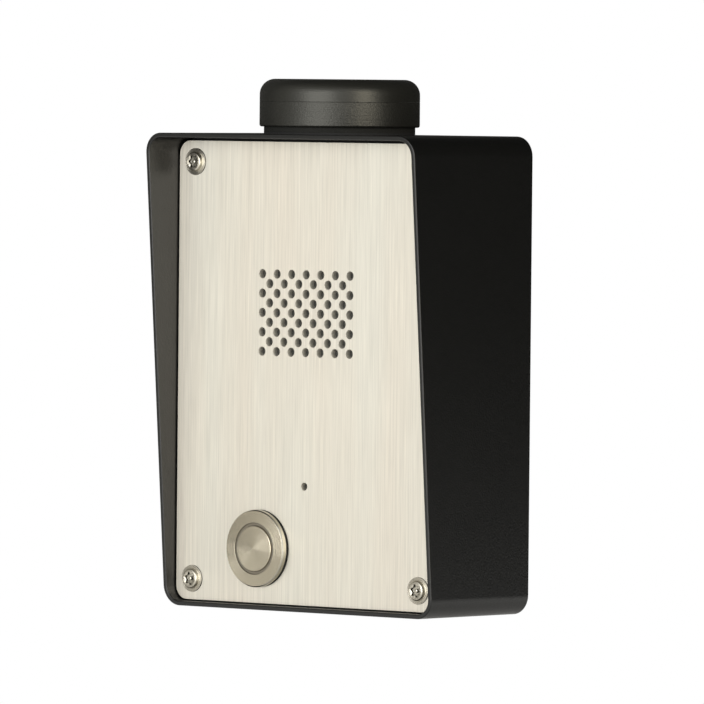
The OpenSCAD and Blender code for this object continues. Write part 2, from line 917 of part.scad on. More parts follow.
module mic_boot() {
    color("#1d1d1d")
    difference() {
        into_wall(grille_x, plate_rear, mic_z)
            cylinder(h = mic_boot_len, r = mic_boot_r);
        into_wall(grille_x, plate_rear - 1, mic_z)
            cylinder(h = mic_mesh_t + 1, r = mic_d / 2 + snug);
        into_wall(grille_x, plate_rear, mic_z)
            cylinder(h = mic_front_t + 1, d = mic_hole_d + 2);
        into_wall(grille_x, plate_rear + mic_front_t, mic_z)
            cylinder(h = mic_boot_len, r = mic_d / 2 + snug);
    }
}

module mic_capsule() {
    color("#b4b6b9")
    into_wall(grille_x, plate_rear + mic_front_t, mic_z)
        cylinder(h = mic_len, d = mic_d);
}

// Call button

module at_button() {
    into_wall(button_x, head_front, button_z)
        children();
}

// One turned piece: chamfered head, threaded barrel, front well and inner web.
module button_bezel() {
    head_r = button_head_d / 2;
    color("#b3ad9b")
    at_button()
        rotate_extrude()
            polygon([
                [light_ring_r, 0], [head_r - button_chamfer, 0], [head_r, button_chamfer],
                [head_r, button_head_t], [barrel_r, button_head_t], [barrel_r, barrel_end],
                [cavity_r, barrel_end], [cavity_r, web_rear], [stem_r + slip, web_rear],
                [stem_r + slip, web_front], [light_ring_r, web_front]
            ]);
}

module button_seal() {
    color("#121212")
    at_button()
        translate([0, 0, button_head_t])
            ring(button_head_d / 2 + seal_proud, barrel_r + snug, button_seal_t);
}

module button_light_ring() {
    color("#8b8472")
    at_button()
        translate([0, 0, light_ring_sunk])
            ring(light_ring_r - snug, cap_r + slip, web_front - light_ring_sunk);
}

module button_cap() {
    edge = 0.3;
    color("#b9b3a1")
    at_button()
        rotate_extrude()
            polygon([
                [0, -cap_proud], [cap_r - edge, -cap_proud], [cap_r, edge - cap_proud],
                [cap_r, cap_t], [0, cap_t]
            ]);
}

// Stem through the web, collar that the spring pushes on, and tail that carries the contacts.
module button_plunger() {
    color("#2f3133")
    at_button()
        rotate_extrude()
            polygon([
                [0, cap_t], [stem_r, cap_t], [stem_r, collar_front], [collar_r, collar_front],
                [collar_r, collar_rear], [tail_r, collar_rear], [tail_r, bridge_front], [0, bridge_front]
            ]);
}

spring_sides = 6;
spring_rings = 8;
spring_rise = spring_len - spring_wire_d - 2 * contact_gap;
spring_start = collar_rear + contact_gap + spring_wire_d / 2;
spring_path = [
    for (i = [0:spring_turns * spring_rings])
        let (a = 360 * i / spring_rings, f = i / (spring_turns * spring_rings))
        [spring_r * cos(a), spring_r * sin(a), spring_start + f * spring_rise]
];
spring_gap = min([
    for (i = [0:len(spring_path) - 1], j = [0:len(spring_path) - 1])
        if (j - i > spring_rings / 2) norm(spring_path[i] - spring_path[j])
]) - spring_wire_d;
echo(spring_gap = spring_gap);

module button_spring() {
    color("#c9ccd0")
    at_button()
        tube(spring_path, spring_wire_d / 2, spring_sides, [0, 0, 1]);
}

// Cup that plugs into the barrel, with a guide for the plunger's tail and a chamber for the contacts.
module contact_carrier() {
    color("#26282a")
    at_button()
        rotate_extrude()
            polygon([
                [tail_r + slip, carrier_front], [carrier_r, carrier_front], [carrier_r, barrel_end],
                [shoulder_r, barrel_end], [shoulder_r, base_front], [chamber_r, base_front],
                [chamber_r, guide_rear], [tail_r + slip, guide_rear]
            ]);
}

module contact_bridge() {
    color("#c79a4b")
    at_button() {
        translate([-bridge_len / 2, -bridge_w / 2, bridge_front])
            cube([bridge_len, bridge_w, bridge_t]);
        for (x = [-1, 1])
            translate([x * contact_x, 0, bridge_rear - eps])
                cylinder(h = rivet_t + eps, r = rivet_r);
    }
}

module terminal_base() {
    color("#1f2123")
    at_button()
        difference() {
            translate([0, 0, base_front])
                cylinder(h = base_t, r = shoulder_r);
            for (x = [-1, 1])
                translate([
                    x * contact_x - tab_t / 2 - snug, -bridge_w / 2 - snug, base_front - 1
                ])
                    cube([tab_t + 2 * snug, bridge_w + 2 * snug, base_t + 2]);
        }
}

module button_terminals() {
    color("#c8a050")
    at_button()
        for (x = [-1, 1])
            translate([x * contact_x, 0, tab_front]) {
                cylinder(h = tab_t, r = rivet_r + 0.3);
                translate([-tab_t / 2, -bridge_w / 2, tab_t - eps])
                    cube([tab_t, bridge_w, tab_end - tab_front - tab_t]);
            }
}

module button_nut() {
    color("#a9a79d")
    at_button()
        translate([0, 0, head_stack])
            hex_nut(button_nut_af, button_nut_t, barrel_r + snug);
}

// Circuit board

module at_standoffs() {
    translate([0, 0, board_z])
        at_corners(board_w / 2 - standoff_inset, board_h / 2 - standoff_inset)
            children();
}

module main_board() {
    color("#1f5a35")
    difference() {
        translate([-board_w / 2, board_front, board_z - board_h / 2])
            cube([board_w, board_t, board_h]);
        at_standoffs()
            into_wall(0, board_front - 1, 0)
                cylinder(h = board_t + 2, d = board_screw_d + 2 * screw_clear);
    }
}

module board_standoffs() {
    color("#c7a35a")
    at_standoffs()
        into_wall(0, board_rear, 0)
            ring(standoff_d / 2, board_screw_d / 2 + snug, standoff_h);
}

module board_screws() {
    color("#b5b7ba")
    at_standoffs() {
        into_wall(0, board_front - eps, 0)
            cylinder(h = board_screw_len + eps, d = board_screw_d);
        into_wall(0, board_front - board_screw_head_h, 0)
            cylinder(h = board_screw_head_h, r = board_screw_head_r);
    }
}

module gsm_module() {
    lid = 0.4;
    step = 0.5;
    color("#c2c4c6")
    union() {
        on_board(module_at, [module_size[0], module_size[1], module_size[2] - lid]);
        on_board(module_at, [module_size[0] - 2 * step, module_size[1] - 2 * step, module_size[2]]);
    }
}

// Open-ended tray for a card that slides in from above.
module sim_holder() {
    slot = [sim_size[0] - 2.4, sim_size[1], 1.2];
    color("#3a3d40")
    difference() {
        on_board(sim_at, sim_size);
        translate([0, -0.4, 1.6])
            on_board(sim_at, slot);
    }
}

module relay() {
    color("#274d86")
    on_board(relay_at, relay_size);
}

module at_terminals() {
    for (way = [0:terminal_ways - 1])
        translate([
            terminal_at[0] + (way - (terminal_ways - 1) / 2) * terminal_pitch, 0, board_z + terminal_at[1]
        ])
            children();
}

module terminal_block() {
    front = board_front - terminal_h;
    color("#2f6b3a")
    difference() {
        on_board(terminal_at, [terminal_w, terminal_depth, terminal_h]);
        at_terminals() {
            into_wall(0, front - 1, 0)
                cylinder(h = terminal_screw_t + 1, r = terminal_screw_r + snug);
            translate([0, front + terminal_mouth_y, -terminal_depth / 2 - 1])
                cylinder(h = terminal_depth / 2 + 2, r = terminal_mouth_r);
        }
    }
}

module terminal_screws() {
    color("#b5b7ba")
    at_terminals()
        into_wall(0, board_front - terminal_h + terminal_sunk, 0)
            cylinder(h = terminal_screw_t - terminal_sunk, r = terminal_screw_r);
}

module capacitors() {
    color("#20242e")
    for (at = capacitors_at)
        into_wall(at[0], board_front, board_z + at[1])
            rotate_extrude()
                polygon([
                    [0, 0], [capacitor_r, 0], [capacitor_r, -capacitor_bead],
                    [capacitor_r - capacitor_edge, -capacitor_bead - capacitor_edge],
                    [capacitor_r, -capacitor_bead - 2 * capacitor_edge],
                    [capacitor_r, capacitor_edge - capacitor_h],
                    [capacitor_r - capacitor_edge, -capacitor_h], [0, -capacitor_h]
                ]);
}

module board_headers() {
    color("#e4dfd0")
    for (at = headers_at)
        on_board(at, header_size);
}

// Sockets at the leads' ends: three on the board's headers and one on the button's tabs.
module lead_plugs() {
    socket_side = 2;
    socket_w = 2 * (contact_x + socket_side);
    socket_h = 8;
    socket_front = base_rear + stop_gap;
    socket_rear = tab_end + stop_gap + 1;
    color("#efeadb")
    union() {
        for (at = headers_at)
            translate([0, -header_size[2], 0])
                on_board(at, plug_size);
        at_button()
            difference() {
                translate([-socket_w / 2, -socket_h / 2, socket_front])
                    cube([socket_w, socket_h, socket_rear - socket_front]);
                for (x = [-1, 1])
                    translate([
                        x * contact_x - tab_t / 2 - snug, -bridge_w / 2 - snug, socket_front - 1
                    ])
                        cube([tab_t + 2 * snug, bridge_w + 2 * snug, tab_end + stop_gap - socket_front + 1]);
            }
    }
}

module antenna_socket() {
    color("#c9a352")
    union() {
        on_board(socket_at, socket_base);
        into_wall(socket_at[0], board_front - socket_base[2] - socket_barrel_h, board_z + socket_at[1])
            cylinder(h = socket_barrel_h + eps, r = socket_barrel_r);
    }
}

// Antenna

module at_antenna() {
    translate([0, -antenna_y, 0])
        children();
}

// Section of the moulded cap, half of it, with round upper and lower edges.
module antenna_section(r, h, top_r, low_r) {
    difference() {
        union() {
            translate([0, low_r])
                square([r, h - top_r - low_r]);
            square([r - low_r, h]);
            square([r - top_r, h]);
            translate([r - top_r, h - top_r])
                circle(top_r);
            translate([r - low_r, low_r])
                circle(low_r);
        }
        translate([r - top_r, h - top_r])
            difference() {
                square(2 * top_r);
                circle(top_r);
            }
        translate([-through, -through / 2])
            square([through, through]);
    }
}

module antenna_cap() {
    inner_low = 0.2;
    inner_edge = max(antenna_top_r - antenna_wall, inner_low);
    inner_r = antenna_r - antenna_wall;
    color("#242423")
    at_antenna()
        translate([0, 0, base_top])
            difference() {
                rotate_extrude()
                    antenna_section(antenna_r, antenna_h, antenna_top_r, antenna_low_r);
                translate([0, 0, -1])
                    rotate_extrude()
                        antenna_section(inner_r, antenna_h - antenna_wall + 1, inner_edge, inner_low);
            }
}

module antenna_base() {
    color("#2a2a29")
    at_antenna()
        difference() {
            union() {
                translate([0, 0, pad_top])
                    cylinder(h = antenna_base_t, d = antenna_base_d);
                translate([0, 0, base_top - eps])
                    cylinder(h = spigot_h + eps, r = spigot_r);
            }
            translate([0, 0, pad_top - 1])
                cylinder(h = antenna_base_t + spigot_h + 2, r = stud_r + snug);
            translate([0, 0, base_top])
                cylinder(h = spigot_h + 1, r = stud_flange_r + snug);
        }
}

module antenna_pad() {
    color("#181818")
    at_antenna()
        translate([0, 0, top_z])
            ring(antenna_base_d / 2 - pad_inset, stud_r + snug, antenna_pad_t);
}

module antenna_board() {
    color("#1f5a35")
    at_antenna()
        translate([0, 0, antenna_board_z])
            cylinder(h = antenna_board_t, r = antenna_board_r);
}

// Folded radiator that stands on the antenna's board.
module antenna_element() {
    plate = [element_w, element_depth, element_t];
    rise = min(element_h, antenna_h - antenna_wall - spigot_h - antenna_board_t - plate[2] - element_clear);
    foot = antenna_board_z + antenna_board_t;
    color("#c79a4b")
    at_antenna() {
        translate([-plate[0] / 2, -plate[1] / 2, foot + rise - eps])
            cube(plate);
        for (y = [-plate[1] / 2, plate[1] / 2 - plate[2]])
            translate([-plate[0] / 2, y, foot])
                cube([element_foot_w, plate[2], rise]);
    }
}

module antenna_stud() {
    shank = base_top - inner_top + stud_len;
    color("#b8b39f")
    at_antenna()
        difference() {
            union() {
                translate([0, 0, base_top - shank])
                    cylinder(h = shank + eps, r = stud_r);
                translate([0, 0, base_top])
                    cylinder(h = stud_flange_t, r = stud_flange_r);
            }
            translate([0, 0, base_top - shank - 1])
                cylinder(h = shank + stud_flange_t + 2, r = stud_bore_r);
        }
}

module antenna_washer() {
    color("#a8abae")
    at_antenna()
        translate([0, 0, inner_top - stud_washer_t])
            ring(stud_washer_r, stud_r + snug, stud_washer_t);
}

module antenna_nut() {
    color("#a9a79d")
    at_antenna()
        translate([0, 0, inner_top - stud_washer_t - stud_nut_t])
            hex_nut(stud_nut_af, stud_nut_t, stud_r + snug);
}

// Leads

// From the antenna's board down through the stud to the plug on the main board.
module antenna_coax() {
    color("#161616")
    tube(smooth_route(coax_route), coax_d / 2, 8, [0, 1, 0]);
}

// Angled plug that snaps over the socket, with the coax crimped in its ferrule.
module coax_plug() {
    plug_z = board_z + socket_at[1];
    front = coax_plug_y - coax_plug_h / 2 - coax_plug_cap;
    color("#c9a352")
    difference() {
        union() {
            into_wall(socket_at[0], front, plug_z)
                cylinder(h = coax_plug_h + coax_plug_cap, r = coax_plug_r);
            translate([socket_at[0] - coax_plug_r - coax_ferrule_len, coax_plug_y, plug_z])
                rotate([0, 90, 0])
                    cylinder(h = coax_ferrule_len + coax_plug_r / 2, r = coax_ferrule_r);
        }
        into_wall(socket_at[0], front + coax_plug_cap, plug_z)
            cylinder(h = coax_plug_h + 1, r = socket_barrel_r + snug);
    }
}

module speaker_lead() {
    color("#8c2a22")
    tube(smooth_route(speaker_route), lead_d / 2, 8, [0, 0, 1]);
}

module mic_lead() {
    color("#3d3d3d")
    tube(smooth_route(mic_route), lead_d / 2, 8, [0, 0, 1]);
}

module button_lead() {
    color("#8c2a22")
    tube(smooth_route(button_route), lead_d / 2, 8, [1, 0, 0]);
}

housing();
seat_frame();
clinch_nuts();
faceplate_gasket();
faceplate();
faceplate_screws();
faceplate_studs();
speaker_mesh();
speaker_gasket();
speaker_basket();
speaker_surround();
speaker_cone();
speaker_dust_cap();
speaker_voice_coil();
speaker_top_plate();
speaker_magnet();
speaker_yoke();
speaker_clamps();
speaker_nuts();
mic_mesh();
mic_boot();
mic_capsule();
button_bezel();
button_seal();
button_light_ring();
button_cap();
button_plunger();
button_spring();
contact_carrier();
contact_bridge();
terminal_base();
button_terminals();
button_nut();
main_board();
board_standoffs();
board_screws();
gsm_module();
sim_holder();
relay();
terminal_block();
terminal_screws();
capacitors();
board_headers();
lead_plugs();
antenna_socket();
antenna_cap();
antenna_base();
antenna_pad();
antenna_board();
antenna_element();
antenna_stud();
antenna_washer();
antenna_nut();
antenna_coax();
coax_plug();
speaker_lead();
mic_lead();
button_lead();
cable_grommet();
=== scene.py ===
import json
import math

import bmesh
import bpy
from mathutils import Matrix, Vector


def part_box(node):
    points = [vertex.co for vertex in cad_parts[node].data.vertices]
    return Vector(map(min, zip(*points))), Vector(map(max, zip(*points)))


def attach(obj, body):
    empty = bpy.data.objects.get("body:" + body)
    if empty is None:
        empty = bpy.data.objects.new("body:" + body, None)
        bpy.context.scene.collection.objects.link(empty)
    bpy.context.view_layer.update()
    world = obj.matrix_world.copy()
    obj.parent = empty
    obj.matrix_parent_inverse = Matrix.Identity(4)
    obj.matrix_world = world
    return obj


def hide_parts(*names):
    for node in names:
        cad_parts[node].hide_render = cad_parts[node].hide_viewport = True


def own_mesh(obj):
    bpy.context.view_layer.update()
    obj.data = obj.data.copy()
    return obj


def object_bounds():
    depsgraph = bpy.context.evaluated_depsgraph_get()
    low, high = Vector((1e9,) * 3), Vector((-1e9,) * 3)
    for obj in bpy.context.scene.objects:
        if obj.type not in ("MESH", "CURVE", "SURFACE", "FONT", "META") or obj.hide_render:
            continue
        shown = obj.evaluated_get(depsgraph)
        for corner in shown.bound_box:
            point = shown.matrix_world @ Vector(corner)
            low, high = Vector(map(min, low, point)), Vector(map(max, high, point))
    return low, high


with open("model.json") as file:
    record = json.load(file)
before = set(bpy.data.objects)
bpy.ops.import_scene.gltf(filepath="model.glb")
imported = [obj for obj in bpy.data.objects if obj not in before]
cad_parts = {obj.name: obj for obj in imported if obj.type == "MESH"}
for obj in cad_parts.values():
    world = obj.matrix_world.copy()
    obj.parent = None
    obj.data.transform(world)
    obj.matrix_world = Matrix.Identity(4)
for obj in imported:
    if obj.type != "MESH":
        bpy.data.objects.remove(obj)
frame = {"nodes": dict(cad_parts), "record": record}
cad_low, cad_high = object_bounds()

# Sizes of pieces are in mm until MM makes them metres. Those of the studio are in metres.
MM = 0.001
scene = bpy.context.scene
scene.view_settings.view_transform = "Standard"


def direction(azimuth, elevation):
    """Way out from the object. Azimuth 0 is straight in front of the plate, and a quarter turn is right."""
    return Vector((
        math.sin(azimuth) * math.cos(elevation),
        -math.cos(azimuth) * math.cos(elevation),
        math.sin(elevation),
    ))


# Camera

PHOTO_SIZE = 704
FOCAL_PIXELS = 9874.49
SENSOR_WIDTH = 36
VIEW_AZIMUTH = math.radians(41.748)
VIEW_ELEVATION = math.radians(1.606)
VIEW_ROLL = math.radians(0.542)
VIEW_DISTANCE = 3173.52 * MM
VIEW_ACROSS = 14.6657 * MM
VIEW_UP = 7.2436 * MM


def set_camera():
    """A long lens to the right of the plate, set out from the middle of the plate's front face."""
    back = direction(VIEW_AZIMUTH, VIEW_ELEVATION)
    right = Vector((math.cos(VIEW_AZIMUTH), math.sin(VIEW_AZIMUTH), 0))
    up = back.cross(right)
    plate_low, plate_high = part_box("faceplate")
    aim = Vector(((plate_low.x + plate_high.x) / 2, plate_low.y, (plate_low.z + plate_high.z) / 2))
    place = aim + VIEW_ACROSS * right + VIEW_UP * up + VIEW_DISTANCE * back
    rolled_right = math.cos(VIEW_ROLL) * right + math.sin(VIEW_ROLL) * up
    rolled_up = math.cos(VIEW_ROLL) * up - math.sin(VIEW_ROLL) * right
    lens = bpy.data.cameras.new("camera")
    lens.sensor_width = SENSOR_WIDTH
    lens.lens = FOCAL_PIXELS * SENSOR_WIDTH / PHOTO_SIZE
    lens.clip_start = 0.1
    lens.clip_end = 50
    camera = bpy.data.objects.new("camera", lens)
    camera.matrix_world = Matrix((
        (rolled_right.x, rolled_up.x, back.x, place.x),
        (rolled_right.y, rolled_up.y, back.y, place.y),
        (rolled_right.z, rolled_up.z, back.z, place.z),
        (0, 0, 0, 1),
    ))
    scene.collection.objects.link(camera)
    scene.camera = camera


set_camera()


# Finishes

# Sockets of a Mix node that mixes colours
MIX_LOW = 6
MIX_HIGH = 7
MIX_RESULT = 2


class Reading:
    """A number that changes over a surface, so that recipes read as sums."""

    def __init__(self, finish, socket):
        self.finish = finish
        self.socket = socket

    def math(self, operation, first, second=0.0):
        return self.finish.add("ShaderNodeMath", {"operation": operation}, {0: first, 1: second})

    def __add__(self, other):
        return self.math("ADD", self, other)

    __radd__ = __add__

    def __sub__(self, other):
        return self.math("SUBTRACT", self, other)

    def __rsub__(self, other):
        return self.math("SUBTRACT", other, self)

    def __mul__(self, other):
        return self.math("MULTIPLY", self, other)

    __rmul__ = __mul__

    def __truediv__(self, other):
        return self.math("DIVIDE", self, other)

    def __rtruediv__(self, other):
        return self.math("DIVIDE", other, self)

    def __pow__(self, other):
        return self.math("POWER", self, other)

    def __rpow__(self, other):
        return self.math("POWER", other, self)

    def __lt__(self, other):
        return self.math("LESS_THAN", self, other)

    def __gt__(self, other):
        return self.math("GREATER_THAN", self, other)

    def sign(self):
        return self.math("SIGN", self)

    def sine(self):
        return self.math("SINE", self)


class Finish:
    """The nodes of one material, or of the world, and the shader that they feed."""

    def __init__(self, owner, shader="Principled BSDF"):
        owner.use_nodes = True
        self.owner = owner
        self.tree = owner.node_tree
        self.shader = self.tree.nodes[shader]

    @property
    def place(self):
        """Object coordinates."""
        return self.add("ShaderNodeTexCoord", output="Object")

    def add(self, kind, settings=None, inputs=None, output=0):
        """Adds a node, sets it up, feeds its sockets and gives one of its outputs."""
        node = self.tree.nodes.new(kind)
        for name, value in (settings or {}).items():
            setattr(node, name, value)
        for name, value in (inputs or {}).items():
            self.feed(node.inputs[name], value)
        return Reading(self, node.outputs[output])

    def feed(self, socket, value):
        """Links a reading to a socket, or sets the socket to a plain value."""
        if isinstance(value, Reading):
            self.tree.links.new(value.socket, socket)
        else:
            socket.default_value = value

    def shade(self, **sockets):
        """Feeds the shader's own sockets: base_color feeds Base Color, and so on."""
        names = {name.lower().replace(" ", "_"): name for name in self.shader.inputs.keys()}
        for name, value in sockets.items():
            self.feed(self.shader.inputs[names[name]], value)
        return self.owner

    def axes(self):
        """Object coordinates along X, Y and Z."""
        return [self.add("ShaderNodeSeparateXYZ", None, {0: self.place}, output) for output in (0, 1, 2)]

    def stretched(self, scale):
        """Object coordinates, scaled along each axis."""
        return self.add("ShaderNodeMapping", {"vector_type": "POINT"}, {
            "Vector": self.place, "Scale": scale,
        })

    def grain(self, where, scale=1.0, detail=2.0, roughness=0.5):
        """Uneven cloud from 0 to 1."""
        return self.add("ShaderNodeTexNoise", {"noise_dimensions": "3D"}, {
            "Vector": where, "Scale": scale, "Detail": detail, "Roughness": roughness,
        })

    def rings(self, radius, scale):
        """Uneven rings from 0 to 1 round the axis that a radius is measured from."""
        return self.add("ShaderNodeTexNoise", {"noise_dimensions": "1D"}, {
            "W": radius, "Scale": scale, "Detail": 0.0,
        })

    def between(self, low, high, amount):
        """Colour from low to high by a reading from 0 to 1."""
        return self.add("ShaderNodeMix", {"data_type": "RGBA"}, {
            "Factor": amount, MIX_LOW: (*low, 1), MIX_HIGH: (*high, 1),
        }, output=MIX_RESULT)

    def scaled(self, vector, amount):
        """A colour or a vector, made longer by an amount."""
        return self.add("ShaderNodeVectorMath", {"operation": "SCALE"}, {0: vector, "Scale": amount})

    def spread(self, reading, low, high, to_low=0.0, to_high=1.0):
        """Carries a reading from low to high over to another span, and no further."""
        return self.add("ShaderNodeMapRange", {"clamp": True}, {
            "Value": reading, "From Min": low, "From Max": high, "To Min": to_low, "To Max": to_high,
        })

    def leaning(self, across, above, amount):
        """The surface's normal, leaning out from an axis that runs front to back by an amount."""
        flat = self.add("ShaderNodeNewGeometry", output="Normal")
        outward = self.add("ShaderNodeCombineXYZ", None, {"X": across, "Z": above})
        lean = self.scaled(outward, amount)
        whole = self.add("ShaderNodeVectorMath", {"operation": "ADD"}, {0: flat, 1: lean})
        return self.add("ShaderNodeVectorMath", {"operation": "NORMALIZE"}, {0: whole})

    def bump(self, height, depth):
        """The surface's normal over a reading taken as a height, with its depth in metres."""
        return self.add("ShaderNodeBump", None, {"Height": height, "Distance": depth})


def new_finish(name):
    """The finish of a new material."""
    return Finish(bpy.data.materials.new(name))


def powder_coat():
    """Black paint baked to a fine pebbled skin."""
    paint = new_finish("black_powder_coat")
    pebble = paint.grain(paint.place, scale=1600, detail=3, roughness=0.55)
    cloud = paint.grain(paint.place, scale=60, detail=2)
    return paint.shade(
        base_color=paint.between((0.0026, 0.0027, 0.0024), (0.0038, 0.0039, 0.0035), cloud),
        roughness=0.26 + 0.14 * pebble,
        specular_ior_level=0.57,
        normal=paint.bump(pebble, depth=0.06 * MM),
    )


def brushed_plate():
    """Stainless sheet, brushed up and down, so that it throws light far to the sides."""
    steel = new_finish("brushed_plate")
    hairs = steel.grain(steel.stretched((3200, 0, 60)), detail=2, roughness=0.6)
    lines = steel.grain(steel.stretched((1500, 0, 22)), detail=2)
    bands = steel.grain(steel.stretched((60, 0, 6)), detail=1)
    tint = steel.between((0.720, 0.671, 0.580), (0.704, 0.675, 0.592), steel.spread(bands, 0.35, 0.65))
    shade = 0.608 + 0.28 * hairs + 0.32 * lines + 0.08 * bands
    return steel.shade(
        base_color=steel.scaled(tint, shade),
        metallic=1.0,
        roughness=0.38 + 0.08 * hairs,
        anisotropic=0.8,
        normal=steel.bump(hairs, depth=0.01 * MM),
    )


def cut_steel():
    """Dull wall of a hole that a laser cut, streaked through the sheet."""
    steel = new_finish("cut_steel")
    streaks = steel.grain(steel.stretched((2500, 120, 2500)), detail=2)
    return steel.shade(
        base_color=steel.between((0.50, 0.48, 0.42), (0.73, 0.706, 0.63), streaks),
        metallic=0.4,
        roughness=0.5 + 0.1 * streaks,
        normal=steel.bump(streaks, depth=0.02 * MM),
    )


def spun_steel(name, from_axis, colour, roughness=0.18, lean=1.25):
    """Stainless steel off a lathe. from_axis gives how far across and above the axis a point lies."""
    darker = 0.94
    steel = new_finish(name)
    x, _, z = steel.axes()
    across, above = from_axis(x, z)
    radius = (across * across + above * above) ** 0.5
    rings = steel.rings(radius, scale=110000)
    cloud = steel.grain(steel.place, scale=220, detail=2)
    low = tuple(darker * part for part in colour)
    return steel.shade(
        base_color=steel.between(low, colour, cloud),
        metallic=1.0,
        roughness=roughness - 0.03 + 0.06 * rings,
        normal=steel.leaning(across, above, (rings - 0.5) * lean / radius),
    )


def grained(name, colour, roughness, metallic=0.0, scale=900, depth=0.03 * MM, specular=0.5):
    """Moulded, cast or coated surface with a fine even grain and a broad faint cloud."""
    darker = 0.85
    cloud_size = 25
    surface = new_finish(name)
    fine = surface.grain(surface.place, scale=scale, detail=3)
    cloud = surface.grain(surface.place, scale=scale / cloud_size, detail=2)
    low = tuple(darker * part for part in colour)
    return surface.shade(
        base_color=surface.between(low, colour, cloud),
        metallic=metallic,
        roughness=roughness - 0.06 + 0.12 * fine,
        specular_ior_level=specular,
        normal=surface.bump(fine, depth),
    )


def bare_metal(name, colour, roughness, scale=1500, depth=0.01 * MM):
    """Plain or plated metal with a fine even grain."""
    return grained(name, colour, roughness, metallic=1.0, scale=scale, depth=depth)


def woven_mesh():
    """Grey cloth of fine crossed threads."""
    pitch = 0.5
    cloth = new_finish("dust_mesh")
    x, _, z = cloth.axes()
    turn = 2 * math.pi / (pitch * MM)
    weave = 0.5 + 0.25 * ((x * turn).sine() + (z * turn).sine())
    return cloth.shade(
        base_color=cloth.between((0.025, 0.024, 0.021), (0.08, 0.078, 0.069), weave),
        roughness=0.8,
        normal=cloth.bump(weave, depth=0.1 * MM),
    )


def antenna_skin(parting_height):
    """Satin black moulding, pitted and faintly drawn round, more so below its parting line."""
    skin = new_finish("antenna_moulding")
    _, _, z = skin.axes()
    below = z < parting_height
    pits = skin.grain(skin.place, scale=2200, detail=2)
    drawn = skin.grain(skin.stretched((60, 60, 2600)), detail=2)
    return skin.shade(
        base_color=skin.between((0.012, 0.012, 0.010), (0.017, 0.017, 0.015), pits),
        roughness=0.34 + 0.03 * below,
        specular_tint=(1.0, 0.985, 0.90, 1.0),
        normal=skin.bump((pits + 0.6 * drawn) * (0.5 + 0.5 * below), depth=0.1 * MM),
    )


# Ways of shaping a piece

MERGE = 0.001 * MM
ON_CORNER = 0.002 * MM
FLAT_ANGLE = math.radians(0.5)
SHARP_ANGLE = math.radians(35)
WIDE_ROUNDING = 1.0
WIDE_SEGMENTS = 12
NARROW_SEGMENTS = 5


def finish_piece(shape, name, body, materials, node, sharp_angle=40):
    """Makes an object of a bmesh, dresses it and lets it stand for its CAD node."""
    mesh = bpy.data.meshes.new(name)
    shape.to_mesh(mesh)
    shape.free()
    for material in materials:
        mesh.materials.append(material)
    for face in mesh.polygons:
        face.use_smooth = True
    mesh.set_sharp_from_angle(angle=math.radians(sharp_angle))
    piece = bpy.data.objects.new(name, mesh)
    scene.collection.objects.link(piece)
    even = piece.modifiers.new("even_normals", "WEIGHTED_NORMAL")
    even.keep_sharp = True
    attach(piece, body)
    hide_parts(node)
    return piece


def copied(node):
    """A CAD node's shape with its triangles joined into flat faces."""
    shape = bmesh.new()
    shape.from_mesh(frame["nodes"][node].data)
    bmesh.ops.remove_doubles(shape, verts=shape.verts, dist=MERGE)
    bmesh.ops.dissolve_limit(
        shape, angle_limit=FLAT_ANGLE, use_dissolve_boundaries=False,
        verts=shape.verts, edges=shape.edges,
    )
    return shape


def round_edges(shape, edges, width, segments=3, clamped=True):
    """Rounds edges over a width in metres."""
    bmesh.ops.bevel(
        shape, geom=edges, offset=width, offset_type="OFFSET", affect="EDGES",
        segments=segments, profile=0.5, material=-1, clamp_overlap=clamped,
    )


def sharp_edges(shape):
    """Edges between two faces that meet at a clear angle."""
    return [
        edge for edge in shape.edges
        if len(edge.link_faces) == 2 and edge.calc_face_angle() > SHARP_ANGLE
    ]


def on_corner(point, radius, height):
    """Whether a point lies on the ring that a corner of a spun section leaves, all in metres."""
    return abs(math.hypot(point.x, point.y) - radius) < ON_CORNER and abs(point.z - height) < ON_CORNER


def turned(section, steps, closed=False):
    """Spins a section about Z. Each of its corners is a radius, a height and a rounding, in mm."""
    shape = bmesh.new()
    corners = [shape.verts.new((radius * MM, 0, height * MM)) for radius, height, _ in section]
    lines = [shape.edges.new(pair) for pair in zip(corners, corners[1:])]
    if closed:
        lines.append(shape.edges.new((corners[-1], corners[0])))
    bmesh.ops.spin(
        shape, geom=corners + lines, cent=(0, 0, 0), axis=(0, 0, 1),
        angle=2 * math.pi, steps=steps, use_merge=True,
    )
    bmesh.ops.remove_doubles(shape, verts=shape.verts, dist=MERGE)
    bmesh.ops.recalc_face_normals(shape, faces=shape.faces)
    for radius, height, rounding in section:
        if rounding:
            ring = [
                edge for edge in shape.edges
                if all(on_corner(vert.co, radius * MM, height * MM) for vert in edge.verts)
            ]
            segments = WIDE_SEGMENTS if rounding > WIDE_ROUNDING else NARROW_SEGMENTS
            round_edges(shape, ring, rounding * MM, segments)
    return shape


def placed(shape, where, facing_out=True):
    """Moves a turned shape to its place. One that faces out is tipped to point away from the wall."""
    tip = Matrix.Rotation(math.radians(90), 4, "X") if facing_out else Matrix.Identity(4)
    bmesh.ops.transform(shape, matrix=Matrix.Translation(where) @ tip, verts=shape.verts)
    return shape


def half_width(node):
    """Half of a node's width from left to right, in mm."""
    low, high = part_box(node)
    return (high.x - low.x) / 2 / MM


def middle(node):
    """The middle of a node's box, in metres."""
    low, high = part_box(node)
    return (low + high) / 2


plate_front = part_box("faceplate")[0].y
button_at = Vector((middle("button_bezel").x, plate_front, middle("button_bezel").z))
housing_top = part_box("housing")[1].z
antenna_at = Vector((middle("antenna_cap").x, middle("antenna_cap").y, housing_top))


def proud(node):
    """How far a node's front end stands out of the plate's front face, in mm."""
    return (plate_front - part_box(node)[0].y) / MM


def sunk(node):
    """How far a node's rear end stands out of the plate's front face, in mm, less than 0 behind it."""
    return (plate_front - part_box(node)[1].y) / MM


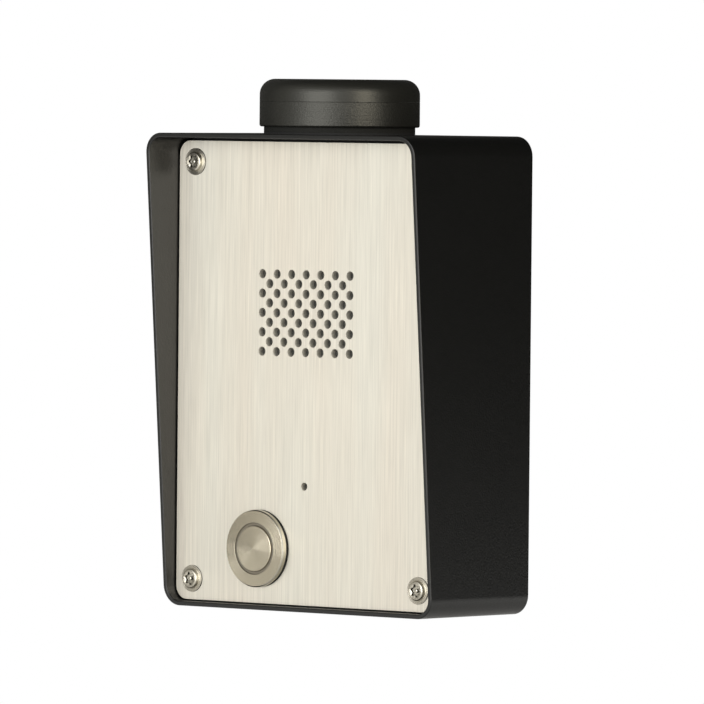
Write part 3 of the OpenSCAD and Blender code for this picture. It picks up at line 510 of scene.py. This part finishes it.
def foot_of(node):
    """Height of a node's lower end over the housing's top, in mm."""
    return (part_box(node)[0].z - housing_top) / MM


def top_of(node):
    """Height of a node's upper end over the housing's top, in mm."""
    return (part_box(node)[1].z - housing_top) / MM


# Housing and plate

def make_hood():
    """Painted sleeve with its back wall. The slanted rim in front of the plate is rounded the most."""
    rim_edge = 0.4
    edge = 0.25
    rim_lead = 2
    shape = copied("housing")
    rim_rear = plate_front - rim_lead * MM
    rim = [line for line in sharp_edges(shape) if all(vert.co.y < rim_rear for vert in line.verts)]
    round_edges(shape, rim, rim_edge * MM, segments=4, clamped=False)
    round_edges(shape, sharp_edges(shape), edge * MM)
    finish_piece(shape, "hood", "case", [powder_coat()], "housing")


def make_plate():
    """Brushed faceplate. The walls of its holes are dull, and its outer edges aren't."""
    edge = 0.08
    side_margin = 5
    end_margin = 3
    upright = 0.5
    shape = copied("faceplate")
    inner_x = half_width("faceplate") * MM - side_margin * MM
    inner_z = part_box("faceplate")[1].z - end_margin * MM
    for face in shape.faces:
        at = face.calc_center_median()
        inside = abs(at.x) < inner_x and abs(at.z) < inner_z
        face.material_index = 1 if inside and abs(face.normal.y) < upright else 0
    round_edges(shape, sharp_edges(shape), edge * MM, segments=2)
    finish_piece(shape, "plate", "case", [brushed_plate(), cut_steel()], "faceplate")


# Screws

SCREW_STEPS = 48
SCREW_FLANGE = 4.35
SCREW_LOBES = 6
# Degrees, lower left and right first, then upper left and right
SCREW_TURNS = [43, 45, 0, 5]
# Places of the finishes in a screw's list. The second is painted shade: near-black steel on the flange's
# outer side wall, the recess's lobed walls and the pin's side.
DOME = 0
PAINTED_SHADE = 1
FLAT = 2


def drawn_on(shape, ring, radius, wave, height):
    """Carries an open ring of edges on to a new height and radius, which may wave. Gives the new ring."""
    made = bmesh.ops.extrude_edge_only(shape, edges=ring)["geom"]
    for vert in [part for part in made if isinstance(part, bmesh.types.BMVert)]:
        angle = math.atan2(vert.co.y, vert.co.x)
        out = radius + wave * math.cos(SCREW_LOBES * angle)
        vert.co = Vector((out * math.cos(angle), out * math.sin(angle), height)) * MM
    return [part for part in made if isinstance(part, bmesh.types.BMEdge) and len(part.link_faces) == 1]


def screw_head():
    """Flanged dome with a six-lobed recess and a pin, its flange on the plane z = 0, and its shank."""
    taller = 0.2
    head_h = proud("faceplate_screws") + taller
    shank_r = 2.0
    shank_end = -12.0
    flange_h = 0.42
    corner = 0.05
    dome_r = 3.25
    dome_foot = flange_h + 0.04
    draft = 0.15
    shoulder = 0.55
    mouth_r = 2.2
    shape = turned([
        (shank_r, shank_end, 0),
        (shank_r, 0, 0),
        (SCREW_FLANGE, 0, 0),
        (SCREW_FLANGE, flange_h, corner),
        (dome_r, dome_foot, corner),
        (dome_r - draft, head_h, shoulder),
        (mouth_r, head_h, 0),
    ], SCREW_STEPS)

    # The flange's outer side wall takes the painted shade; level faces take the flats' finish.
    upright = 0.3
    level = 0.97
    rim_from = SCREW_FLANGE - 0.1
    for face in shape.faces:
        at = face.calc_center_median()
        if abs(face.normal.z) < upright and math.hypot(at.x, at.y) > rim_from * MM:
            face.material_index = PAINTED_SHADE
        elif face.normal.z > level:
            face.material_index = FLAT
        else:
            face.material_index = DOME

    lobe_r = 1.78
    lobe_wave = 0.28
    lobe_top = head_h - 0.22
    floor = head_h - 1.1
    floor_edge = 0.1
    pin_h = head_h - 0.25
    pin_r = 0.6
    pin_edge = 0.15
    pin_tip_r = 0.42
    pin_crown = 0.02
    ring = [edge for edge in shape.edges if len(edge.link_faces) == 1 and edge.verts[0].co.z > 0]
    # The recess's lobed walls and the pin's side take the painted shade.
    for radius, wave, height, material in (
        (lobe_r, lobe_wave, lobe_top, DOME),
        (lobe_r, lobe_wave, floor + floor_edge, PAINTED_SHADE),
        (pin_r, 0, floor, DOME),
        (pin_r, 0, pin_h - pin_edge, PAINTED_SHADE),
        (pin_tip_r, 0, pin_h, DOME),
        (0, 0, pin_h + pin_crown, DOME),
    ):
        before = set(shape.faces)
        ring = drawn_on(shape, ring, radius, wave, height)
        for face in set(shape.faces) - before:
            face.material_index = material
    bmesh.ops.remove_doubles(shape, verts=shape.verts, dist=MERGE)
    bmesh.ops.recalc_face_normals(shape, faces=shape.faces)
    return shape


def make_screws():
    """Four security screws at the plate's corners, each turned as far as it was driven home."""
    low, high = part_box("faceplate_screws")
    flange = SCREW_FLANGE * MM
    across = high.x - flange
    above = high.z - flange
    corners = [(x, z) for z in (low.z + flange, above) for x in (low.x + flange, across)]
    screws = bmesh.new()
    for (x, z), turn in zip(corners, SCREW_TURNS):
        head = screw_head()
        spin = Matrix.Rotation(math.radians(turn), 3, "Z")
        bmesh.ops.rotate(head, cent=(0, 0, 0), matrix=spin, verts=head.verts)
        placed(head, Vector((x, plate_front, z)))
        loose = bpy.data.meshes.new("screw")
        head.to_mesh(loose)
        head.free()
        screws.from_mesh(loose)
        bpy.data.meshes.remove(loose)

    def from_axis(x, z):
        return x - x.sign() * across, z - z.sign() * above

    dome = spun_steel("screw_dome", from_axis, (0.60, 0.565, 0.475), roughness=0.28, lean=0.8)
    # Near-black steel, painted shade in the recess and round the flange's edge
    recess = bare_metal("screw_painted_shade", (0.04, 0.038, 0.033), 0.3, scale=2500)
    flats = spun_steel("screw_flats", from_axis, (0.62, 0.58, 0.49), roughness=0.28, lean=2.2)
    finishes = [dome, recess, flats]
    finish_piece(screws, "security_screws", "case", finishes, "faceplate_screws")


# Call button

BUTTON_STEPS = 96
BUTTON_BARREL = 10.9
CAP_WIDER = 0.15
ZINC = (0.50, 0.51, 0.53)
ZINC_ROUGHNESS = 0.36

cap_radius = half_width("button_cap") + CAP_WIDER


def from_button_axis(x, z):
    """How far across and above the button's axis a point lies."""
    return x - button_at.x, z - button_at.z


def make_bezel():
    """Turned body of the button: a dished, chamfered head, and the barrel with its chamber behind."""
    forward = 0.08
    wider = 0.2
    front = proud("button_bezel") + forward
    head = half_width("button_bezel") + wider
    foot = proud("button_seal")
    barrel_end = sunk("button_bezel")
    chamber = 9.4
    guide = 3.2
    web = 1.8
    well = 8.4
    well_floor = sunk("button_light_ring")
    lip = 0.02
    lip_edge = 0.06
    dip = 0.16
    chamfer = 0.38
    edge = 0.05
    facing = 0.95
    shape = placed(turned([
        (well, front - lip, lip_edge),
        (head - chamfer, front - dip, edge),
        (head, front - dip - chamfer, edge),
        (head, foot, edge),
        (BUTTON_BARREL, foot, 0),
        (BUTTON_BARREL, barrel_end, 0),
        (chamber, barrel_end, 0),
        (chamber, well_floor - web, 0),
        (guide, well_floor - web, 0),
        (guide, well_floor, 0),
        (well, well_floor, 0),
    ], BUTTON_STEPS, closed=True), button_at)
    for face in shape.faces:
        face.material_index = 0 if face.normal.y < -facing else 1
    spun = spun_steel("spun_bezel", from_button_axis, (0.62, 0.562, 0.44))
    plain = spun_steel("turned_edge", from_button_axis, (0.58, 0.545, 0.455), roughness=0.14, lean=0.1)
    finish_piece(shape, "button_head", "case", [spun, plain], "button_bezel")


def make_cap():
    """Spun cap that is pressed, domed a little, with the lathe's mark at its centre."""
    forward = 0.25
    top = proud("button_cap") + forward
    rear = sunk("button_cap")
    fall = 0.29
    chamfer = 0.16
    edge = 0.05
    mark_depth = 0.08
    mark_wall_r = 0.25
    mark_wall_depth = 0.05
    mark_r = 0.4
    shape = placed(turned([
        (0, top - mark_depth, 0),
        (mark_wall_r, top - mark_wall_depth, 0),
        (mark_r, top, 0),
        (cap_radius - chamfer, top - fall, edge),
        (cap_radius, top - fall - chamfer, edge),
        (cap_radius, rear, 0),
        (0, rear, 0),
    ], BUTTON_STEPS), button_at)
    spun = spun_steel("spun_cap", from_button_axis, (0.65, 0.59, 0.464))
    finish_piece(shape, "button_face", "call_button", [spun], "button_cap")


def make_light_ring():
    """Unlit lens round the cap, its front sloped at both edges."""
    gap = 0.1
    inner = cap_radius + gap
    outer = half_width("button_light_ring")
    front = proud("button_light_ring")
    rear = sunk("button_light_ring")
    slope = 0.2
    slope_drop = 0.1
    shape = placed(turned([
        (inner, front - slope_drop, 0),
        (inner + slope, front, 0),
        (outer - slope, front, 0),
        (outer, front - slope_drop, 0),
        (outer, rear, 0),
        (inner, rear, 0),
    ], BUTTON_STEPS, closed=True), button_at)
    lens = grained("unlit_lens", (0.225, 0.198, 0.15), 0.3, scale=700, depth=0.01 * MM)
    finish_piece(shape, "light_ring", "case", [lens], "button_light_ring")


def make_seal():
    """Rubber ring between the button's head and the plate."""
    gap = 0.1
    wider = 0.2
    edge = 0.2
    inner = BUTTON_BARREL + gap
    outer = half_width("button_seal") + wider
    front = proud("button_seal")
    shape = placed(turned([
        (inner, front, 0),
        (outer, front, edge),
        (outer, 0, 0),
        (inner, 0, 0),
    ], BUTTON_STEPS, closed=True), button_at)
    rubber = grained("seal_rubber", (0.005, 0.005, 0.005), 0.6, specular=0.25)
    finish_piece(shape, "head_seal", "case", [rubber], "button_seal")


def make_spring():
    """Return spring behind the cap, copied from its CAD node, with a mesh of its own."""
    coil_angle = 80
    coil = copied("button_spring")
    wire = bare_metal("spring_wire", ZINC, ZINC_ROUGHNESS)
    spring = finish_piece(coil, "return_spring", "case", [wire], "button_spring", coil_angle)
    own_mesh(spring)


# Antenna

ANTENNA_STEPS = 160
ANTENNA_WALL = 2.0
STUD_HOLE = 5.1


def make_antenna_pad():
    """Foam under the antenna, as wide as the foot that presses it."""
    edge = 0.05
    outer = half_width("antenna_base")
    top = top_of("antenna_pad")
    shape = placed(turned([
        (STUD_HOLE, 0, 0),
        (outer, 0, 0),
        (outer, top, edge),
        (STUD_HOLE, top, 0),
    ], ANTENNA_STEPS, closed=True), antenna_at, facing_out=False)
    foam = grained("pad_foam", (0.010, 0.010, 0.010), 0.8)
    finish_piece(shape, "antenna_foam", "case", [foam], "antenna_pad")


def make_antenna_foot():
    """Narrow foot of the antenna, with the spigot that stands up inside the cap."""
    lower_edge = 0.05
    upper_edge = 0.1
    gap = 0.1
    foot = top_of("antenna_pad")
    cap_foot = foot_of("antenna_cap")
    outer = half_width("antenna_base")
    spigot_r = half_width("antenna_cap") - ANTENNA_WALL - gap
    spigot_top = top_of("antenna_base")
    well_r = 8.1
    shape = placed(turned([
        (STUD_HOLE, foot, 0),
        (outer, foot, lower_edge),
        (outer, cap_foot, upper_edge),
        (spigot_r, cap_foot, 0),
        (spigot_r, spigot_top, 0),
        (well_r, spigot_top, 0),
        (well_r, cap_foot, 0),
        (STUD_HOLE, cap_foot, 0),
    ], ANTENNA_STEPS, closed=True), antenna_at, facing_out=False)
    rough = grained(
        "antenna_foot", (0.019, 0.019, 0.017), 0.75, scale=1100, depth=0.2 * MM, specular=0.18,
    )
    finish_piece(shape, "antenna_foot", "case", [rough], "antenna_base")


def make_antenna_dome():
    """The antenna's cap: a round shoulder, a fine groove at the parting line and a rounded lower edge."""
    outer = half_width("antenna_cap")
    inner = outer - ANTENNA_WALL
    foot = foot_of("antenna_cap")
    top = top_of("antenna_cap")
    ceiling = top - ANTENNA_WALL
    shoulder = 5.0
    inner_shoulder = 2.0
    lower_edge = 0.7
    parting = top - 7.3
    groove = 0.08
    groove_edge = 0.04
    shape = placed(turned([
        (0, ceiling, 0),
        (inner, ceiling, inner_shoulder),
        (inner, foot, 0),
        (outer, foot, lower_edge),
        (outer, parting - groove, groove_edge),
        (outer - groove, parting, 0),
        (outer, parting + groove, groove_edge),
        (outer, top, shoulder),
        (0, top, 0),
    ], ANTENNA_STEPS), antenna_at, facing_out=False)
    skin = antenna_skin(antenna_at.z + parting * MM)
    finish_piece(shape, "antenna_dome", "case", [skin], "antenna_cap")


make_hood()
make_plate()
make_screws()
make_bezel()
make_cap()
make_light_ring()
make_seal()
make_spring()
make_antenna_pad()
make_antenna_foot()
make_antenna_dome()


# Finishes of the CAD nodes that stay

SLOT_FINISHES = {
    "dust_mesh": woven_mesh(),
    "zinc_steel": bare_metal("zinc_steel", ZINC, ZINC_ROUGHNESS),
    "switch_plastic": grained("switch_plastic", (0.03, 0.03, 0.032), 0.5),
    "black_rubber": grained("black_rubber", (0.012, 0.012, 0.012), 0.65),
    "foam": grained("foam", (0.02, 0.02, 0.02), 0.85, scale=1800, depth=0.12 * MM),
    "brass": bare_metal("brass", (0.60, 0.42, 0.16), 0.32),
    "copper": bare_metal("copper", (0.55, 0.25, 0.12), 0.35, scale=3000, depth=0.05 * MM),
    "board_green": grained("solder_mask", (0.02, 0.11, 0.04), 0.35, scale=700, depth=0.01 * MM),
    "shield_can": bare_metal("shield_can", (0.60, 0.61, 0.62), 0.3, scale=1200),
    "ferrite": grained("ferrite", (0.04, 0.04, 0.042), 0.6, scale=1200, depth=0.04 * MM),
    "cone_paper": grained("cone_paper", (0.025, 0.026, 0.03), 0.8, scale=1400, depth=0.08 * MM),
    "relay_blue": grained("relay_blue", (0.02, 0.07, 0.24), 0.3),
    "terminal_green": grained("terminal_green", (0.03, 0.15, 0.05), 0.45),
    "can_sleeve": grained("can_sleeve", (0.015, 0.018, 0.03), 0.3),
    "nylon": grained("nylon", (0.78, 0.74, 0.64), 0.5),
    "lead_black": grained("lead_black", (0.015, 0.015, 0.015), 0.55),
    "lead_red": grained("lead_red", (0.28, 0.025, 0.018), 0.5),
}

# The frame behind the plate is zinc-plated too; it is coloured near-black as painted shade in the gap
# between the hood's rim and the plate.
NODE_FINISHES = {
    "seat_frame": grained(
        "seat_frame_painted_shade", (0.012, 0.012, 0.012), 0.6, scale=1500, depth=0.01 * MM, specular=0.3,
    ),
}


def dress_nodes():
    """Gives each CAD node that still shows its own finish, or that of its slot."""
    for part in frame["record"]["subparts"]:
        node = frame["nodes"][part["node"]]
        material = NODE_FINISHES.get(part["node"], SLOT_FINISHES.get(part["material_slot"]))
        if not node.hide_render:
            node.data.materials.clear()
            node.data.materials.append(material)


dress_nodes()


# Studio

FLOOR_DROP = 0.08
FLOOR_REACH = 0.7
FLOOR_LIFT = (0.60, 0.60, 0.585)
FLOOR_LIFT_FROM = 0.12
FLOOR_LIFT_TO = 0.40
FLOOR_LEAST_LIFT = 0.2
DRAPE_RADIUS = 1.2
DRAPE_HALF_HEIGHT = 1.2
DRAPE_FROM = math.radians(97)
DRAPE_TO = math.radians(330)
DRAPE_GLOW = (0.66, 0.64, 0.58)
DRAPE_GLOW_FROM = -0.25 * DRAPE_RADIUS
DRAPE_PALE_FROM = -0.3 * DRAPE_RADIUS
CEILING_RADIUS = 1.2
SKY_LIGHT = 0.35
SKY_SEEN = 1.0
SEEN_RAYS = ("Is Camera Ray", "Is Glossy Ray", "Is Transmission Ray")


def area_lamp(name, azimuth, elevation, distance, size, power, colour):
    """Soft lamp at an azimuth and elevation round the object, in degrees, aimed at its middle."""
    lamp = bpy.data.lights.new(name, "AREA")
    lamp.shape = "RECTANGLE"
    lamp.size, lamp.size_y = size
    lamp.energy = power
    lamp.color = colour
    away = direction(math.radians(azimuth), math.radians(elevation))
    holder = bpy.data.objects.new(name, lamp)
    holder.location = distance * away + Vector((0, plate_front / 2, 0))
    holder.rotation_euler = away.to_track_quat("Z", "Y").to_euler()
    scene.collection.objects.link(holder)


def staged(shape, name, material):
    """Makes an object of a bmesh with one material, for the studio, which is no part of the object."""
    mesh = bpy.data.meshes.new(name)
    shape.to_mesh(mesh)
    shape.free()
    mesh.materials.append(material)
    piece = bpy.data.objects.new(name, mesh)
    scene.collection.objects.link(piece)
    return piece


def seen_white(finish):
    """1 for what the camera, metal or glass looks at, and 0 for what only gives light."""
    camera, gloss, glass = [finish.add("ShaderNodeLightPath", output=ray) for ray in SEEN_RAYS]
    return finish.spread(camera + gloss + glass, 0, 1)


def make_floor():
    """Pale floor, lifted towards white for the camera and for gloss, more so far from the object."""
    floor = bmesh.new()
    bmesh.ops.create_circle(floor, cap_ends=True, segments=96, radius=FLOOR_REACH)
    bmesh.ops.translate(floor, vec=(0, 0, cad_low.z - FLOOR_DROP), verts=floor.verts)
    pale = new_finish("pale_floor")
    cloud = pale.grain(pale.place, scale=40)
    x, y, _ = pale.axes()
    far = pale.spread((x * x + y * y) ** 0.5, FLOOR_LIFT_FROM, FLOOR_LIFT_TO, FLOOR_LEAST_LIFT)
    lift = seen_white(pale) * far
    staged(floor, "floor", pale.shade(
        base_color=pale.between((0.80, 0.79, 0.77), (0.84, 0.83, 0.81), cloud),
        roughness=0.8,
        emission_color=pale.between((0, 0, 0), FLOOR_LIFT, lift),
        emission_strength=1.0,
    ))


def make_drape():
    """Dark cloth behind and over the set, paler at left and aglow in front. Only gloss shows it."""
    drape = bmesh.new()
    foot = direction(DRAPE_FROM, 0) * DRAPE_RADIUS
    ends = [drape.verts.new(foot + Vector((0, 0, side * DRAPE_HALF_HEIGHT))) for side in (-1, 1)]
    edge = drape.edges.new(ends)
    bmesh.ops.spin(
        drape, geom=ends + [edge], cent=(0, 0, 0), axis=(0, 0, 1),
        angle=DRAPE_TO - DRAPE_FROM, steps=48,
    )
    ceiling = bmesh.ops.create_circle(drape, cap_ends=True, segments=48, radius=CEILING_RADIUS)["verts"]
    bmesh.ops.translate(drape, vec=(0, 0, DRAPE_HALF_HEIGHT), verts=ceiling)
    cloth = new_finish("dark_cloth")
    x, y, _ = cloth.axes()
    left = cloth.spread(x, DRAPE_PALE_FROM, -DRAPE_RADIUS)
    front = cloth.spread(y, DRAPE_GLOW_FROM, -DRAPE_RADIUS)
    piece = staged(drape, "drape", cloth.shade(
        base_color=cloth.between((0.02, 0.02, 0.02), (0.12, 0.12, 0.115), left),
        roughness=0.9,
        emission_color=cloth.between((0, 0, 0), DRAPE_GLOW, front),
        emission_strength=1.0,
    ))
    piece.visible_camera = False
    piece.visible_diffuse = False
    piece.visible_shadow = False


def make_world():
    """White where the camera, metal or glass looks at it, and a softer grey as light."""
    sky = Finish(bpy.data.worlds.new("studio"), "Background")
    scene.world = sky.shade(
        color=(1, 1, 1, 1),
        strength=sky.spread(seen_white(sky), 0, 1, SKY_LIGHT, SKY_SEEN),
    )


area_lamp(
    "left_lamp", azimuth=11, elevation=8, distance=2.2, size=(1.70, 1.8),
    power=31.3, colour=(1.0, 1.0, 0.98),
)
area_lamp(
    "right_lamp", azimuth=78, elevation=10, distance=2.2, size=(0.75, 1.8),
    power=18.6, colour=(1.0, 0.92, 0.75),
)
make_floor()
make_drape()
make_world()
